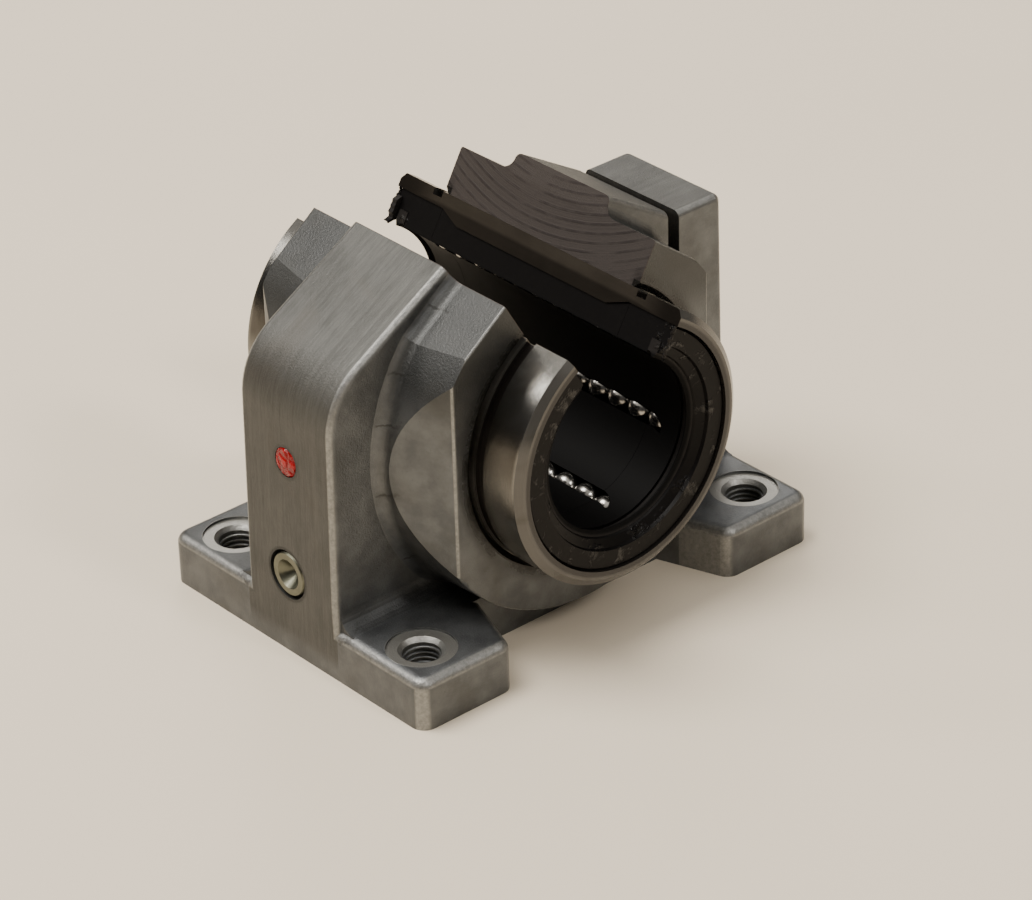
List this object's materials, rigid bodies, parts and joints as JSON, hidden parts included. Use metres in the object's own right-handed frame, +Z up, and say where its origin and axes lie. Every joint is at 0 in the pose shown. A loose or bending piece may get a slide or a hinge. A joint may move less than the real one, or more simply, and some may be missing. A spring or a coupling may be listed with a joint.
{
  "type": "linear ball bushing",
  "caption": "Open recirculating linear ball bushing in an open, adjustable die-cast pillow block with feet, lubrication nipple and clamping slot; guides a round shaft on a support rail.",
  "frame": {"origin": "centre of the foot's underside", "axes": "+X across the foot, towards the clamping slot and adjusting screw; +Y along the shaft; +Z up"},
  "size_m": [0.0724, 0.058, 0.0556],
  "materials": {
    "cast_aluminium": "satin die-cast, upper faces linished",
    "bearing_steel": "ground",
    "ball_steel": "polished",
    "black_plastic": "moulded, lightly oiled",
    "black_rubber": "oiled",
    "red_lacquer": "glossy sealing lacquer",
    "plated_steel": "yellowish zinc plating",
    "spring_steel": "plain",
    "black_steel": "black oxide",
    "brass": "turned"
  },
  "bodies": {
    "housing": {"housing": "cast_aluminium", "outer_sleeve": "bearing_steel", "ball_cage": "black_plastic", "end_ring_front": "black_plastic", "end_ring_rear": "black_plastic", "lip_seal_front": "black_rubber", "lip_seal_rear": "black_rubber", "locating_screw": "black_steel", "sealing_lacquer": "red_lacquer", "nipple_body": "plated_steel", "nipple_spring": "spring_steel"},
    "nipple_ball": {"nipple_ball": "ball_steel"},
    "adjusting_tip": {"adjusting_tip": "brass"},
    "adjusting_screw": {"adjusting_screw": "black_steel"},
    "loaded_balls_1": {"loaded_balls_1": "ball_steel"},
    "returning_balls_1": {"returning_balls_1": "ball_steel"},
    "front_turn_balls_1": {"front_turn_balls_1": "ball_steel"},
    "rear_turn_balls_1": {"rear_turn_balls_1": "ball_steel"},
    "loaded_balls_2": {"loaded_balls_2": "ball_steel"},
    "returning_balls_2": {"returning_balls_2": "ball_steel"},
    "front_turn_balls_2": {"front_turn_balls_2": "ball_steel"},
    "rear_turn_balls_2": {"rear_turn_balls_2": "ball_steel"},
    "loaded_balls_3": {"loaded_balls_3": "ball_steel"},
    "returning_balls_3": {"returning_balls_3": "ball_steel"},
    "front_turn_balls_3": {"front_turn_balls_3": "ball_steel"},
    "rear_turn_balls_3": {"rear_turn_balls_3": "ball_steel"},
    "loaded_balls_4": {"loaded_balls_4": "ball_steel"},
    "returning_balls_4": {"returning_balls_4": "ball_steel"},
    "front_turn_balls_4": {"front_turn_balls_4": "ball_steel"},
    "rear_turn_balls_4": {"rear_turn_balls_4": "ball_steel"},
    "loaded_balls_5": {"loaded_balls_5": "ball_steel"},
    "returning_balls_5": {"returning_balls_5": "ball_steel"},
    "front_turn_balls_5": {"front_turn_balls_5": "ball_steel"},
    "rear_turn_balls_5": {"rear_turn_balls_5": "ball_steel"}
  },
  "joints": [
    {"name": "loaded_row_1", "type": "slide", "parent": "housing", "child": "loaded_balls_1", "axis": [0, 1, 0], "range_m": [-0.00085, 0.00085]},
    {"name": "returning_row_1", "type": "slide", "parent": "housing", "child": "returning_balls_1", "axis": [0, 1, 0], "range_m": [-0.00087, 0.00087]},
    {"name": "front_turn_1", "type": "hinge", "parent": "housing", "child": "front_turn_balls_1", "pos_m": [0.01275, -0.01942, 0.03723], "axis": [-0.7779, -0.1392, -0.6128], "range_deg": [-14.52, 14.52]},
    {"name": "rear_turn_1", "type": "hinge", "parent": "housing", "child": "rear_turn_balls_1", "pos_m": [0.01275, 0.01942, 0.03723], "axis": [-0.7779, 0.1392, -0.6128], "range_deg": [-14.52, 14.52]},
    {"name": "loaded_row_2", "type": "slide", "parent": "housing", "child": "loaded_balls_2", "axis": [0, 1, 0], "range_m": [-0.00085, 0.00085]},
    {"name": "returning_row_2", "type": "slide", "parent": "housing", "child": "returning_balls_2", "axis": [0, 1, 0], "range_m": [-0.00087, 0.00087]},
    {"name": "front_turn_2", "type": "hinge", "parent": "housing", "child": "front_turn_balls_2", "pos_m": [0.01264, -0.01942, 0.02257], "axis": [-0.9196, -0.1392, 0.3673], "range_deg": [-14.52, 14.52]},
    {"name": "rear_turn_2", "type": "hinge", "parent": "housing", "child": "rear_turn_balls_2", "pos_m": [0.01264, 0.01942, 0.02257], "axis": [-0.9196, 0.1392, 0.3673], "range_deg": [-14.52, 14.52]},
    {"name": "loaded_row_3", "type": "slide", "parent": "housing", "child": "loaded_balls_3", "axis": [0, 1, 0], "range_m": [-0.00085, 0.00085]},
    {"name": "returning_row_3", "type": "slide", "parent": "housing", "child": "returning_balls_3", "axis": [0, 1, 0], "range_m": [-0.00087, 0.00087]},
    {"name": "front_turn_3", "type": "hinge", "parent": "housing", "child": "front_turn_balls_3", "pos_m": [-0.00011, -0.01942, 0.01534], "axis": [-0.1418, -0.1392, 0.9801], "range_deg": [-14.52, 14.52]},
    {"name": "rear_turn_3", "type": "hinge", "parent": "housing", "child": "rear_turn_balls_3", "pos_m": [-0.00011, 0.01942, 0.01534], "axis": [-0.1418, 0.1392, 0.9801], "range_deg": [-14.52, 14.52]},
    {"name": "loaded_row_4", "type": "slide", "parent": "housing", "child": "loaded_balls_4", "axis": [0, 1, 0], "range_m": [-0.00085, 0.00085]},
    {"name": "returning_row_4", "type": "slide", "parent": "housing", "child": "returning_balls_4", "axis": [0, 1, 0], "range_m": [-0.00087, 0.00087]},
    {"name": "front_turn_4", "type": "hinge", "parent": "housing", "child": "front_turn_balls_4", "pos_m": [-0.01275, -0.01942, 0.02277], "axis": [0.7779, -0.1392, 0.6128], "range_deg": [-14.52, 14.52]},
    {"name": "rear_turn_4", "type": "hinge", "parent": "housing", "child": "rear_turn_balls_4", "pos_m": [-0.01275, 0.01942, 0.02277], "axis": [0.7779, 0.1392, 0.6128], "range_deg": [-14.52, 14.52]},
    {"name": "loaded_row_5", "type": "slide", "parent": "housing", "child": "loaded_balls_5", "axis": [0, 1, 0], "range_m": [-0.00085, 0.00085]},
    {"name": "returning_row_5", "type": "slide", "parent": "housing", "child": "returning_balls_5", "axis": [0, 1, 0], "range_m": [-0.00087, 0.00087]},
    {"name": "front_turn_5", "type": "hinge", "parent": "housing", "child": "front_turn_balls_5", "pos_m": [-0.01264, -0.01942, 0.03743], "axis": [0.9196, -0.1392, -0.3673], "range_deg": [-14.52, 14.52]},
    {"name": "rear_turn_5", "type": "hinge", "parent": "housing", "child": "rear_turn_balls_5", "pos_m": [-0.01264, 0.01942, 0.03743], "axis": [0.9196, 0.1392, -0.3673], "range_deg": [-14.52, 14.52]},
    {"name": "nipple_ball_press", "type": "slide", "parent": "housing", "child": "nipple_ball", "axis": [1, 0, 0], "range_m": [0, 0.0006], "stiffness_N_per_m": 150, "springref_m": -0.0004, "deforming": ["nipple_spring"]},
    {"name": "adjusting_travel", "type": "slide", "parent": "housing", "child": "adjusting_tip", "axis": [1, 0, 0], "range_m": [0, 0.0016]},
    {"name": "adjusting_turn", "type": "hinge", "parent": "adjusting_tip", "child": "adjusting_screw", "pos_m": [0.0355, 0, 0.04], "axis": [1, 0, 0], "range_deg": [0, 721]}
  ],
  "couplings": [
    {"joint": "returning_row_1", "follows": "loaded_row_1", "ratio": -1},
    {"joint": "front_turn_1", "follows": "loaded_row_1", "rad_per_m": 292.38},
    {"joint": "rear_turn_1", "follows": "loaded_row_1", "rad_per_m": 292.38},
    {"joint": "returning_row_2", "follows": "loaded_row_2", "ratio": -1},
    {"joint": "front_turn_2", "follows": "loaded_row_2", "rad_per_m": 292.38},
    {"joint": "rear_turn_2", "follows": "loaded_row_2", "rad_per_m": 292.38},
    {"joint": "returning_row_3", "follows": "loaded_row_3", "ratio": -1},
    {"joint": "front_turn_3", "follows": "loaded_row_3", "rad_per_m": 292.38},
    {"joint": "rear_turn_3", "follows": "loaded_row_3", "rad_per_m": 292.38},
    {"joint": "returning_row_4", "follows": "loaded_row_4", "ratio": -1},
    {"joint": "front_turn_4", "follows": "loaded_row_4", "rad_per_m": 292.38},
    {"joint": "rear_turn_4", "follows": "loaded_row_4", "rad_per_m": 292.38},
    {"joint": "returning_row_5", "follows": "loaded_row_5", "ratio": -1},
    {"joint": "front_turn_5", "follows": "loaded_row_5", "rad_per_m": 292.38},
    {"joint": "rear_turn_5", "follows": "loaded_row_5", "rad_per_m": 292.38},
    {"joint": "adjusting_turn", "follows": "adjusting_travel", "rad_per_m": 7854}
  ]
}
